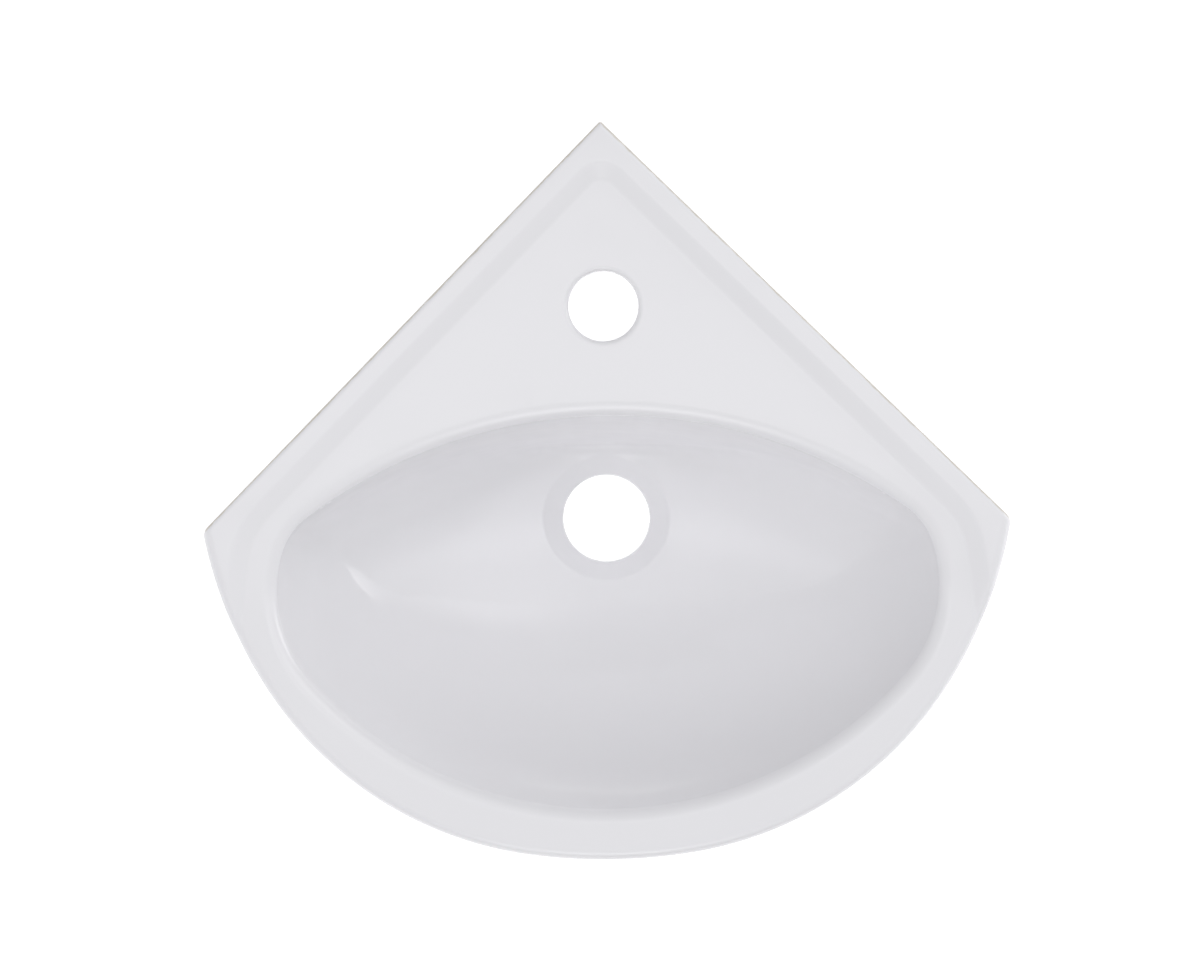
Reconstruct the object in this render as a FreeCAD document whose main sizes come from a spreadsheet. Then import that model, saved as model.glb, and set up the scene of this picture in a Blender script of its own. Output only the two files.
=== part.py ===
import FreeCAD, Part
import math
import os

import Sketcher
from FreeCAD import Placement, Rotation, Vector

# Corner basin, millimetres.
# Origin: the corner of the room at the height of the deck.
# +X right along the front, -Y towards the user, +Z up.
# The two walls run from the origin to (+,-) and (-,-) at 45 degrees.

doc = FreeCAD.newDocument("corner_basin")
sheet = doc.addObject("Spreadsheet::Sheet", "sizes")
sheet.Label = "sizes"
row = 1


def cell(alias, number, note=""):
    """One driving size: note, number and alias."""
    global row
    sheet.set("A%d" % row, note or alias)
    sheet.set("B%d" % row, str(number))
    sheet.setAlias("B%d" % row, alias)
    row += 1


# Plan outline: the front is a curve of five tangent arcs that ends on the walls
cell("front_reach", 368.1, "corner of the room to the front of the rim")
cell("front_radius", 278.71, "middle arc of the front")
cell("shoulder_radius", 186.05, "arcs beside the middle")
cell("flank_radius", 222.61, "arcs that end at the tips")
cell("joint_a_x", 40.59, "where the middle arc ends")
cell("joint_b_x", 172.37, "where the shoulder arc ends")
cell("tip_round", 2.5, "vertical edge at each tip")
cell("apex_round", 3.0, "vertical edge in the corner of the room")

# Heights from the deck, upwards or downwards as named
cell("upstand", 3, "height of the ledge along the walls")
cell("rim_depth", 30, "outer face of the rim below the deck")
cell("deck_thick", 13, "ceramic around the tap hole")
cell("plate_depth", 108, "back plates below the deck")
cell("edge_start", 70, "where the lower edge of a back plate starts to rise, across")
cell("edge_finish", 170, "where it meets the rim, across")
cell("plate_thick", 12, "back plates")
cell("boss_foot", 142, "underside of the waste boss")

# Step between the upstand and the deck
cell("step_head_in", 10, "flat top of the upstand, from the wall")
cell("step_foot_in", 18.4, "foot of the step, from the wall")
cell("step_foot_apex", 7.1, "radius of the foot line in the corner")
cell("step_foot_tip", 42, "radius of the foot line at the tips")
cell("step_tip_x", 178.0, "corner of the foot line before rounding")
cell("step_run_out", 6.9, "run-out of the step line at the tips, degrees")

# Holes
cell("tap_y", 92, "tap hole from the corner of the room")
cell("tap_bore", 35, "tap hole")
cell("waste_y", 199, "waste hole from the corner of the room")
cell("waste_bore", 46, "waste hole")
cell("dish_bore", 65, "outer edge of the dish around the waste hole")
cell("dish_top", 108, "depth of that edge")
cell("dish_foot", 116, "depth where the waste hole starts")
cell("boss_width", 72, "outside of the waste boss")

# Wall fixings: stud of 8 mm on each side
cell("fix_along", 118, "fixing hole from the corner, along the wall")
cell("fix_down", 52, "fixing hole below the deck")
cell("fix_bore", 14, "fixing hole in the ceramic")
cell("bush_width", 13.6, "bush in the hole")
cell("bush_bore", 9, "clearance for the stud")
cell("bush_flange", 26, "bush flange")
cell("bush_flange_thick", 2.5, "bush flange")
cell("bush_short", 1, "end of the bush short of the wall")
cell("washer_width", 24, "washer")
cell("washer_bore", 8.4, "washer")
cell("washer_thick", 1.6, "washer")
cell("nut_flats", 13, "nut across flats")
cell("nut_high", 6.5, "nut")
cell("nut_bore", 6.8, "core diameter of the 8 mm thread")
cell("nut_chamfer", 0.6, "mouths of the thread")

# Pocket under the deck
cell("cavity_end", 160, "end of the pocket under the deck, along the wall")
cell("cavity_arc", 266.1, "front wall of that pocket")
cell("cavity_arc_y", 404.1, "centre of that wall from the corner")

# Bowl, inside and outside, as level sections. Each is an oval of four tangent
# arcs: depth, front point, back point, front, side and back radii.
INNER = [
    ("a", 0.0, -344.23, -145.96, 199.72, 57.46, 258.14),
    ("b", 20.0, -337.34, -148.16, 191.80, 52.25, 257.27),
    ("c", 42.0, -326.69, -150.84, 177.49, 44.88, 251.86),
    ("d", 62.0, -313.48, -153.37, 157.70, 40.55, 230.77),
    ("e", 78.0, -298.90, -155.64, 133.49, 46.24, 201.32),
    ("f", 89.0, -285.05, -157.77, 109.31, 51.24, 197.85),
    ("g", 97.0, -270.91, -159.48, 86.46, 50.79, 180.00),
    ("h", 103.0, -257.98, -160.34, 56.50, 44.00, 84.00),
    ("k", 108.0, -229.90, -168.10, 33.00, 30.00, 33.00),
]
OUTER = [
    ("a", 6.0, -352.94, -136.53, 208.27, 66.43, 267.89),
    ("b", 24.0, -346.56, -138.56, 201.05, 60.69, 266.94),
    ("c", 44.0, -337.16, -141.07, 188.05, 53.60, 264.01),
    ("d", 64.0, -324.85, -143.68, 169.66, 46.33, 248.77),
    ("e", 82.0, -309.82, -146.18, 145.40, 49.52, 218.23),
    ("f", 96.0, -293.47, -148.80, 116.56, 57.53, 205.13),
    ("g", 106.0, -276.29, -150.86, 87.30, 57.36, 180.00),
    ("h", 112.0, -262.01, -152.12, 86.16, 48.86, 107.64),
    ("k", 116.5, -247.42, -156.85, 49.60, 40.54, 79.44),
]
for side, table in (("inner", INNER), ("outer", OUTER)):
    for name, depth, front, back, r_front, r_side, r_back in table:
        stem = "%s_%s_" % (side, name)
        cell(stem + "depth", depth, "%s section %s" % (side, name))
        cell(stem + "front", front)
        cell(stem + "back", back)
        cell(stem + "rfront", r_front)
        cell(stem + "rside", r_side)
        cell(stem + "rback", r_back)

# Roundings
cell("lip_round", 4, "bowl edge")
cell("rim_round", 5, "upper edge of the front")
cell("rim_under", 8, "lower edge of the front")
cell("tap_round", 2.5, "upper edge of the tap hole")
cell("waste_round", 2.5, "upper edge of the waste hole")
cell("boss_round", 3, "edge of the waste boss")
cell("shell_round", 6, "corner between bowl and rim, underneath")
cell("step_round", 4, "head of the step")
doc.recompute()


def size(alias):
    return float(sheet.get(alias))


ROOT2 = math.sqrt(2.0)


# ---------------------------------------------------------------- helpers


def origin_plane(body, role):
    for feature in body.Origin.OriginFeatures:
        if feature.Role == role:
            return feature
    raise RuntimeError(role)


def new_body(label):
    body = doc.addObject("PartDesign::Body", label)
    body.Label = label
    return body


def new_sketch(body, name, role="XY_Plane", offset=None):
    sketch = body.newObject("Sketcher::SketchObject", name)
    sketch.AttachmentSupport = [(origin_plane(body, role), "")]
    sketch.MapMode = "FlatFace"
    if offset is not None:
        sketch.AttachmentOffset = offset
    return sketch


def at_height(sketch, number, expression):
    sketch.AttachmentOffset = Placement(Vector(0, 0, number), Rotation())
    sketch.setExpression("AttachmentOffset.Base.z", expression)


def arc(cx, cy, radius, start, end):
    return Part.ArcOfCircle(
        Part.Circle(Vector(cx, cy, 0), Vector(0, 0, 1), radius),
        math.radians(start),
        math.radians(end),
    )


def line(x0, y0, x1, y1):
    return Part.LineSegment(Vector(x0, y0, 0), Vector(x1, y1, 0))


def bind(sketch, kind, geometry, number, name, expression):
    """A named dimension of the sketch, driven by the sheet."""
    index = sketch.addConstraint(Sketcher.Constraint(kind, *geometry, number))
    sketch.renameConstraint(index, name)
    sketch.setExpression("Constraints." + name, expression)
    return index


def circle_sketch(body, name, x, y, diameter, x_expr, y_expr, d_expr, role="XY_Plane"):
    sketch = new_sketch(body, name, role)
    sketch.addGeometry(Part.Circle(Vector(x, y, 0), Vector(0, 0, 1), diameter / 2), False)
    if x_expr is None:
        sketch.addConstraint(Sketcher.Constraint("PointOnObject", 0, 3, -2))
    else:
        bind(sketch, "DistanceX", (-1, 1, 0, 3), x, "centre_x", x_expr)
    if y_expr is None:
        sketch.addConstraint(Sketcher.Constraint("PointOnObject", 0, 3, -1))
    else:
        bind(sketch, "DistanceY", (-1, 1, 0, 3), y, "centre_y", y_expr)
    bind(sketch, "Diameter", (0,), diameter, "width", d_expr)
    return sketch


def oval_sketch(body, side, name, tag="", grow=0.0, level=None):
    """A level section of the bowl: four tangent arcs, the same left and right.
    grow widens it all round, about the same centres."""
    stem = "%s_%s_" % (side, name)
    front, back = size(stem + "front") - grow, size(stem + "back") + grow
    rf, rs, rb = size(stem + "rfront") + grow, size(stem + "rside") + grow, size(stem + "rback") + grow
    cf, cb = front + rf, back - rb
    # The side arc's centre lies rf - rs from the front arc's centre and rb - rs
    # from the back arc's centre
    df, db, gap = rf - rs, rb - rs, cf - cb
    y_rel = (db * db - df * df - gap * gap) / (2 * gap)  # from cf, upwards
    cy = cf + y_rel
    cx = math.sqrt(df * df - y_rel * y_rel)
    low = math.degrees(math.atan2(cy - cf, cx))
    high = math.degrees(math.atan2(cy - cb, cx))
    sketch = new_sketch(body, stem + "section" + tag)
    if level is None:
        at_height(sketch, -size(stem + "depth"), "-sizes.%sdepth" % stem)
    else:
        at_height(sketch, level, "%.4f" % level)
    sketch.addGeometry(arc(0, cf, rf, 180 - low, 360 + low), False)
    sketch.addGeometry(arc(cx, cy, rs, low, high), False)
    sketch.addGeometry(arc(0, cb, rb, high, 180 - high), False)
    sketch.addGeometry(arc(-cx, cy, rs, 180 - high, 180 - low), False)
    for one, other in ((0, 1), (1, 2), (2, 3), (3, 0)):
        sketch.addConstraint(Sketcher.Constraint("Tangent", one, 2, other, 1))
    sketch.addConstraint(Sketcher.Constraint("PointOnObject", 0, 3, -2))
    sketch.addConstraint(Sketcher.Constraint("PointOnObject", 2, 3, -2))
    more = " + %.4f" % grow
    bind(sketch, "Radius", (0,), rf, "rfront", "sizes.%srfront" % stem + more)
    bind(sketch, "Radius", (1,), rs, "rside", "sizes.%srside" % stem + more)
    bind(sketch, "Radius", (3,), rs, "rside_left", "sizes.%srside" % stem + more)
    bind(sketch, "Radius", (2,), rb, "rback", "sizes.%srback" % stem + more)
    bind(sketch, "DistanceY", (-1, 1, 0, 3), cf, "front", "sizes.%sfront + sizes.%srfront" % (stem, stem))
    bind(sketch, "DistanceY", (-1, 1, 2, 3), cb, "back", "sizes.%sback - sizes.%srback" % (stem, stem))
    return sketch


def step_sketch(body, name, level, level_expr, inset, inset_expr, grow, grow_expr):
    """The line that the step follows at one level: round in the corner of the
    room, parallel to the walls, and turned forwards at the tips."""
    lean = math.radians(size("step_run_out"))
    r_apex = size("step_foot_apex") + grow
    r_tip = size("step_foot_tip") + grow
    # Offset lines of the right half: along the wall, and the run-out
    nx, ny = 1 / ROOT2, 1 / ROOT2
    mx, my = math.cos(lean), math.sin(lean)
    foot = size("step_foot_in")
    corner = Vector(size("step_tip_x"), -size("step_tip_x") - foot * ROOT2, 0)
    along = -inset  # n . p
    out = mx * corner.x + my * corner.y + grow  # m . p
    apex_y = -(inset + r_apex) * ROOT2
    # centre of the tip arc: r_tip inside both lines
    det = nx * my - ny * mx
    a, b = along - r_tip, out - r_tip
    tip = Vector((a * my - b * ny) / det, (nx * b - mx * a) / det, 0)
    p_apex = Vector(r_apex * nx, apex_y + r_apex * ny, 0)
    p_tip = Vector(tip.x + r_tip * nx, tip.y + r_tip * ny, 0)
    p_out = Vector(tip.x + r_tip * mx, tip.y + r_tip * my, 0)
    low = -430.0
    q = Vector(p_out.x + (p_out.y - low) * my / mx, low, 0)
    angle = math.degrees(lean)
    sketch = new_sketch(body, name)
    at_height(sketch, level, level_expr)
    sketch.addGeometry(arc(0, apex_y, r_apex, 45, 135), False)  # 0 apex
    sketch.addGeometry(line(p_apex.x, p_apex.y, p_tip.x, p_tip.y), False)  # 1 right wall line
    sketch.addGeometry(arc(tip.x, tip.y, r_tip, angle, 45), False)  # 2 right tip
    sketch.addGeometry(line(p_out.x, p_out.y, q.x, q.y), False)  # 3 right run-out
    sketch.addGeometry(line(q.x, q.y, -q.x, q.y), False)  # 4 far front
    sketch.addGeometry(line(-q.x, q.y, -p_out.x, p_out.y), False)  # 5 left run-out
    sketch.addGeometry(arc(-tip.x, tip.y, r_tip, 135, 180 - angle), False)  # 6 left tip
    sketch.addGeometry(line(-p_tip.x, p_tip.y, -p_apex.x, p_apex.y), False)  # 7 left wall line
    for one, p, other, r in ((0, 1, 1, 1), (1, 2, 2, 2), (2, 1, 3, 1), (5, 2, 6, 2), (6, 1, 7, 1), (7, 2, 0, 2)):
        sketch.addConstraint(Sketcher.Constraint("Tangent", one, p, other, r))
    sketch.addConstraint(Sketcher.Constraint("Coincident", 3, 2, 4, 1))
    sketch.addConstraint(Sketcher.Constraint("Coincident", 4, 2, 5, 1))
    sketch.addConstraint(Sketcher.Constraint("Horizontal", 4))
    sketch.addConstraint(Sketcher.Constraint("PointOnObject", 0, 3, -2))
    bind(sketch, "Radius", (0,), r_apex, "apex", "sizes.step_foot_apex + " + grow_expr)
    bind(sketch, "DistanceY", (-1, 1, 0, 3), apex_y, "inset", "-sqrt(2) * (%s + sizes.step_foot_apex + %s)" % (inset_expr, grow_expr))
    bind(sketch, "Radius", (2,), r_tip, "tip", "sizes.step_foot_tip + " + grow_expr)
    bind(sketch, "Radius", (6,), r_tip, "tip_left", "sizes.step_foot_tip + " + grow_expr)
    return sketch


# ---------------------------------------------------------------- the casting

basin = new_body("basin_body")

# Blank of deck and rim: the plan outline, upstand height up and rim depth down
outline = new_sketch(basin, "outline")
fr, sr, kr = size("front_radius"), size("shoulder_radius"), size("flank_radius")
cf_y = fr - size("front_reach")
ja = math.degrees(math.asin(size("joint_a_x") / fr))  # half angle of the middle arc
sc = Vector((fr - sr) * math.sin(math.radians(ja)), cf_y - (fr - sr) * math.cos(math.radians(ja)), 0)
jb = math.degrees(math.acos((size("joint_b_x") - sc.x) / sr))  # below the level
kc = Vector(sc.x + (sr - kr) * math.cos(math.radians(jb)), sc.y - (sr - kr) * math.sin(math.radians(jb)), 0)
# tip: the flank arc meets the wall line x = -y
half = (kc.x - kc.y) / 2.0
rest = math.sqrt(kr * kr - (kc.x + kc.y) ** 2 / 2.0)
tip_x = half + rest / ROOT2
jt = math.degrees(math.asin((kc.y + tip_x) / kr))
outline.addGeometry(arc(0, cf_y, fr, 270 - ja, 270 + ja), False)  # 0 middle
outline.addGeometry(arc(sc.x, sc.y, sr, 270 + ja, 360 - jb), False)  # 1 right shoulder
outline.addGeometry(arc(kc.x, kc.y, kr, -jb, -jt), False)  # 2 right flank
outline.addGeometry(line(tip_x, -tip_x, 0, 0), False)  # 3 right wall
outline.addGeometry(line(0, 0, -tip_x, -tip_x), False)  # 4 left wall
outline.addGeometry(arc(-kc.x, kc.y, kr, 180 + jt, 180 + jb), False)  # 5 left flank
outline.addGeometry(arc(-sc.x, sc.y, sr, 180 + jb, 270 - ja), False)  # 6 left shoulder
for one, other in ((0, 1), (1, 2), (5, 6), (6, 0)):
    outline.addConstraint(Sketcher.Constraint("Tangent", one, 2, other, 1))
for one, other in ((2, 3), (3, 4), (4, 5)):
    outline.addConstraint(Sketcher.Constraint("Coincident", one, 2, other, 1))
outline.addConstraint(Sketcher.Constraint("Coincident", 4, 1, -1, 1))
outline.addConstraint(Sketcher.Constraint("PointOnObject", 0, 3, -2))
outline.addConstraint(Sketcher.Constraint("Perpendicular", 3, 4))
outline.addConstraint(Sketcher.Constraint("Symmetric", 3, 1, 4, 2, -2))
bind(outline, "Radius", (0,), fr, "middle", "sizes.front_radius")
bind(outline, "Radius", (1,), sr, "shoulder", "sizes.shoulder_radius")
bind(outline, "Radius", (6,), sr, "shoulder_left", "sizes.shoulder_radius")
bind(outline, "Radius", (2,), kr, "flank", "sizes.flank_radius")
bind(outline, "Radius", (5,), kr, "flank_left", "sizes.flank_radius")
bind(outline, "DistanceY", (-1, 1, 0, 3), cf_y, "reach", "sizes.front_radius - sizes.front_reach")
bind(outline, "DistanceX", (-1, 1, 0, 2), size("joint_a_x"), "joint_a", "sizes.joint_a_x")
bind(outline, "DistanceX", (-1, 1, 1, 2), size("joint_b_x"), "joint_b", "sizes.joint_b_x")
doc.recompute()

blank = basin.newObject("PartDesign::Pad", "blank")
blank.Profile = outline
blank.SideType = "Two sides"
blank.Length = size("upstand")
blank.Length2 = size("rim_depth")
blank.setExpression("Length", "sizes.upstand")
blank.setExpression("Length2", "sizes.rim_depth")
doc.recompute()

# Deck: everything inside the step is lowered to z = 0
foot = step_sketch(basin, "step_foot", 0.0, "0", size("step_foot_in"), "sizes.step_foot_in", 0.0, "0")
over = 1.0
slope = (size("step_foot_in") - size("step_head_in")) / size("upstand")
head_grow = slope * (size("upstand") + over)
GROW = "(sizes.step_foot_in - sizes.step_head_in) / sizes.upstand * (sizes.upstand + 1)"
head = step_sketch(
    basin,
    "step_head",
    size("upstand") + over,
    "sizes.upstand + 1",
    size("step_foot_in") - head_grow,
    "(sizes.step_foot_in - %s)" % GROW,
    head_grow,
    GROW,
)
deck = basin.newObject("PartDesign::SubtractiveLoft", "deck_recess")
deck.Profile = foot
deck.Sections = [head]
deck.Ruled = True
doc.recompute()

# Pocket under the tap deck, between the back plates and the bowl
pocket_plan = new_sketch(basin, "pocket_plan")
at_height(pocket_plan, -size("rim_depth"), "-sizes.rim_depth")
t, ra = size("plate_thick"), 10.0
arc_r, arc_y = size("cavity_arc"), -size("cavity_arc_y")
wall = size("cavity_end") / ROOT2
apex_c = -(t + ra) * ROOT2
s_end = Vector(wall - t / ROOT2, -wall - t / ROOT2, 0)
# end of the pocket: square to the wall until it meets the bowl's arc
qa, qb, qc = 2.0, -2 * (wall + (-wall - arc_y)), wall**2 + (-wall - arc_y) ** 2 - arc_r**2
u = (-qb - math.sqrt(qb * qb - 4 * qa * qc)) / (2 * qa)
m_end = Vector(wall - u, -wall - u, 0)
a_end = math.degrees(math.atan2(m_end.y - arc_y, m_end.x))
pocket_plan.addGeometry(arc(0, apex_c, ra, 45, 135), False)
pocket_plan.addGeometry(line(ra / ROOT2, apex_c + ra / ROOT2, s_end.x, s_end.y), False)
pocket_plan.addGeometry(line(s_end.x, s_end.y, m_end.x, m_end.y), False)
pocket_plan.addGeometry(arc(0, arc_y, arc_r, a_end, 180 - a_end), False)
pocket_plan.addGeometry(line(-m_end.x, m_end.y, -s_end.x, s_end.y), False)
pocket_plan.addGeometry(line(-s_end.x, s_end.y, -ra / ROOT2, apex_c + ra / ROOT2), False)
for one, p, other, r in ((0, 1, 1, 1), (5, 2, 0, 2)):
    pocket_plan.addConstraint(Sketcher.Constraint("Tangent", one, p, other, r))
for one, p, other, r in ((1, 2, 2, 1), (2, 2, 3, 1), (3, 2, 4, 1), (4, 2, 5, 1)):
    pocket_plan.addConstraint(Sketcher.Constraint("Coincident", one, p, other, r))
pocket_plan.addConstraint(Sketcher.Constraint("PointOnObject", 0, 3, -2))
pocket_plan.addConstraint(Sketcher.Constraint("PointOnObject", 3, 3, -2))
pocket_plan.addConstraint(Sketcher.Constraint("Perpendicular", 1, 2))
pocket_plan.addConstraint(Sketcher.Constraint("Perpendicular", 5, 4))
pocket_plan.addConstraint(Sketcher.Constraint("Perpendicular", 1, 5))
pocket_plan.addConstraint(Sketcher.Constraint("Symmetric", 1, 2, 5, 1, -2))
bind(pocket_plan, "Radius", (3,), arc_r, "bowl_side", "sizes.cavity_arc")
bind(pocket_plan, "DistanceY", (-1, 1, 3, 3), arc_y, "bowl_centre", "-sizes.cavity_arc_y")
bind(pocket_plan, "DistanceY", (-1, 1, 0, 3), apex_c, "apex", "-sqrt(2) * (sizes.plate_thick + 10)")
bind(pocket_plan, "DistanceX", (-1, 1, 1, 2), s_end.x, "end", "(sizes.cavity_end - sizes.plate_thick) / sqrt(2)")
doc.recompute()
before = basin.Shape.Volume
under = basin.newObject("PartDesign::Pocket", "under_deck")
under.Profile = pocket_plan
under.Reversed = True  # upwards, into the blank
under.Length = size("rim_depth") - size("deck_thick")
under.setExpression("Length", "sizes.rim_depth - sizes.deck_thick")
doc.recompute()
print("under_deck removes", round(before - basin.Shape.Volume))

# Back plates along the walls, from the rim's underside down
plate_plan = new_sketch(basin, "plate_plan")
at_height(plate_plan, -size("rim_depth") + 1, "1 - sizes.rim_depth")
end = 264.0 / ROOT2
tt = size("plate_thick") * ROOT2
pts = [(0, 0), (end, -end), (end - tt / 2, -end - tt / 2), (0, -tt), (-end + tt / 2, -end - tt / 2), (-end, -end)]
for i in range(6):
    p, q = pts[i], pts[(i + 1) % 6]
    plate_plan.addGeometry(line(p[0], p[1], q[0], q[1]), False)
for i in range(6):
    plate_plan.addConstraint(Sketcher.Constraint("Coincident", i, 2, (i + 1) % 6, 1))
plate_plan.addConstraint(Sketcher.Constraint("Coincident", 0, 1, -1, 1))
plate_plan.addConstraint(Sketcher.Constraint("Perpendicular", 0, 5))
plate_plan.addConstraint(Sketcher.Constraint("Perpendicular", 0, 1))
plate_plan.addConstraint(Sketcher.Constraint("Perpendicular", 5, 4))
plate_plan.addConstraint(Sketcher.Constraint("Parallel", 0, 2))
plate_plan.addConstraint(Sketcher.Constraint("Parallel", 5, 3))
plate_plan.addConstraint(Sketcher.Constraint("PointOnObject", 2, 2, -2))
plate_plan.addConstraint(Sketcher.Constraint("Symmetric", 0, 2, 4, 2, -2))
bind(plate_plan, "DistanceY", (-1, 1, 2, 2), -tt, "thick", "-sqrt(2) * sizes.plate_thick")
bind(plate_plan, "DistanceX", (-1, 1, 0, 2), end, "end", "264 / sqrt(2)")
doc.recompute()
plates = basin.newObject("PartDesign::Pad", "back_plates")
plates.Profile = plate_plan
plates.Reversed = True
plates.Length = size("plate_depth") - size("rim_depth") + 1
plates.setExpression("Length", "sizes.plate_depth - sizes.rim_depth + 1")
doc.recompute()

# Their lower edges rise towards the tips in an arc, seen from the front
arc_in, arc_out = size("edge_start"), size("edge_finish")
fall = size("plate_depth") - size("rim_depth")
edge_r = ((arc_out - arc_in) ** 2 + fall**2) / (2 * fall)
edge_c = -size("plate_depth") + edge_r
for name, sign in (("edge_right", 1), ("edge_left", -1)):
    cut_plan = new_sketch(basin, name, "XZ_Plane")
    d0, d1 = -size("plate_depth"), -size("rim_depth")
    turn = math.degrees(math.atan2(d1 - edge_c, arc_out - arc_in))
    far, deep = 230.0, d0 - 10
    if sign > 0:
        cut_plan.addGeometry(arc(arc_in, edge_c, edge_r, 270, 360 + turn), False)
        ends = (2, 1)
    else:
        cut_plan.addGeometry(arc(-arc_in, edge_c, edge_r, 180 - turn, 270), False)
        ends = (1, 2)
    cut_plan.addGeometry(line(sign * arc_out, d1, sign * far, d1), False)
    cut_plan.addGeometry(line(sign * far, d1, sign * far, deep), False)
    cut_plan.addGeometry(line(sign * far, deep, sign * arc_in, deep), False)
    cut_plan.addGeometry(line(sign * arc_in, deep, sign * arc_in, d0), False)
    cut_plan.addConstraint(Sketcher.Constraint("Coincident", 0, ends[0], 1, 1))
    for i in (1, 2, 3):
        cut_plan.addConstraint(Sketcher.Constraint("Coincident", i, 2, i + 1, 1))
    cut_plan.addConstraint(Sketcher.Constraint("Coincident", 4, 2, 0, ends[1]))
    cut_plan.addConstraint(Sketcher.Constraint("Horizontal", 1))
    cut_plan.addConstraint(Sketcher.Constraint("Vertical", 2))
    cut_plan.addConstraint(Sketcher.Constraint("Horizontal", 3))
    cut_plan.addConstraint(Sketcher.Constraint("Vertical", 4))
    cut_plan.addConstraint(Sketcher.Constraint("PointOnObject", 0, 3, 4))
    flip = "" if sign > 0 else "-"
    bind(cut_plan, "DistanceY", (-1, 1, 4, 2), d0, "low", "-sizes.plate_depth")
    bind(cut_plan, "DistanceY", (-1, 1, 1, 1), d1, "high", "-sizes.rim_depth")
    bind(cut_plan, "DistanceX", (-1, 1, 4, 2), sign * arc_in, "start", flip + "sizes.edge_start")
    bind(cut_plan, "DistanceX", (-1, 1, 1, 1), sign * arc_out, "finish", flip + "sizes.edge_finish")
    doc.recompute()
    before = basin.Shape.Volume
    cut = basin.newObject("PartDesign::Pocket", name + "_cut")
    cut.Profile = cut_plan
    cut.Type = "ThroughAll"
    cut.Midplane = True
    doc.recompute()
    print(name, "removes", round(before - basin.Shape.Volume))

# Outside of the bowl
outer = [oval_sketch(basin, "outer", entry[0]) for entry in OUTER]
doc.recompute()
shell = basin.newObject("PartDesign::AdditiveLoft", "bowl_outside")
shell.Profile = outer[0]
shell.Sections = outer[1:]
doc.recompute()

# Waste boss
boss_plan = circle_sketch(basin, "boss_plan", 0, -size("waste_y"), size("boss_width"), None, "-sizes.waste_y", "sizes.boss_width")
at_height(boss_plan, -112.0, "-sizes.outer_h_depth")
doc.recompute()
boss = basin.newObject("PartDesign::Pad", "waste_boss")
boss.Profile = boss_plan
boss.Reversed = True
boss.Length = size("boss_foot") - 112.0
boss.setExpression("Length", "sizes.boss_foot - sizes.outer_h_depth")
doc.recompute()

# Inside of the bowl
mouth = oval_sketch(basin, "inner", "a", "_mouth", 0.0, 3.0)
inner = [oval_sketch(basin, "inner", entry[0]) for entry in INNER[:-1]]
doc.recompute()
before = basin.Shape.Volume
bowl = basin.newObject("PartDesign::SubtractiveLoft", "bowl_inside")
bowl.Profile = mouth
bowl.Sections = inner
doc.recompute()
print("bowl_inside removes", round(before - basin.Shape.Volume))

# Floor, from the last of those sections down to the dish
floor_edge = oval_sketch(basin, "inner", INNER[-2][0], "_floor")
floor_dish = oval_sketch(basin, "inner", INNER[-1][0])
doc.recompute()
before = basin.Shape.Volume
floor_cut = basin.newObject("PartDesign::SubtractiveLoft", "bowl_floor")
floor_cut.Profile = floor_edge
floor_cut.Sections = [floor_dish]
floor_cut.Ruled = True
doc.recompute()
print("bowl_floor removes", round(before - basin.Shape.Volume))

# Rounded lip of the bowl, in flats that follow a radius of lip_round
r = size("lip_round")
flats = [(1.4 * r, 1.0)] + [(r - r * math.cos(math.radians(a)), r * math.sin(math.radians(a)) - r) for a in (90, 62, 36)] + [(-1.6, -1.25 * r)]
lips = [oval_sketch(basin, "inner", "a", "_lip%d" % i, round(g, 4), round(z, 4)) for i, (g, z) in enumerate(flats)]
doc.recompute()
before = basin.Shape.Volume
lip = basin.newObject("PartDesign::SubtractiveLoft", "lip")
lip.Profile = lips[0]
lip.Sections = lips[1:]
lip.Ruled = True
doc.recompute()
print("lip removes", round(before - basin.Shape.Volume))

# Dish and waste hole
dish_plan = new_sketch(basin, "dish_plan", "YZ_Plane")
wy = -size("waste_y")
r0, r1 = size("waste_bore") / 2, size("dish_bore") / 2
z0, z1 = -size("dish_foot"), -size("dish_top")
corners = [(wy, z0 - 2), (wy + r0, z0 - 2), (wy + r0, z0), (wy + r1, z1), (wy + r1, z1 + 14), (wy, z1 + 14)]
for i in range(6):
    p, q = corners[i], corners[(i + 1) % 6]
    dish_plan.addGeometry(line(p[0], p[1], q[0], q[1]), False)
for i in range(6):
    dish_plan.addConstraint(Sketcher.Constraint("Coincident", i, 2, (i + 1) % 6, 1))
for i, kind in ((0, "Horizontal"), (1, "Vertical"), (3, "Vertical"), (4, "Horizontal"), (5, "Vertical")):
    dish_plan.addConstraint(Sketcher.Constraint(kind, i))
bind(dish_plan, "DistanceX", (-1, 1, 0, 1), wy, "axis", "-sizes.waste_y")
bind(dish_plan, "DistanceX", (0, 1, 1, 1), r0, "bore", "sizes.waste_bore / 2")
bind(dish_plan, "DistanceX", (0, 1, 3, 1), r1, "dish", "sizes.dish_bore / 2")
bind(dish_plan, "DistanceY", (-1, 1, 2, 1), z0, "foot", "-sizes.dish_foot")
bind(dish_plan, "DistanceY", (-1, 1, 3, 1), z1, "top", "-sizes.dish_top")
bind(dish_plan, "DistanceY", (0, 1, 2, 1), 2.0, "deep", "2")
bind(dish_plan, "DistanceY", (3, 1, 4, 1), 14.0, "tall", "14")
doc.recompute()
before = basin.Shape.Volume
dish = basin.newObject("PartDesign::Groove", "dish")
dish.Profile = dish_plan
dish.ReferenceAxis = (dish_plan, ["Edge6"])
dish.Angle = 360
doc.recompute()
print("dish removes", round(before - basin.Shape.Volume))

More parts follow.
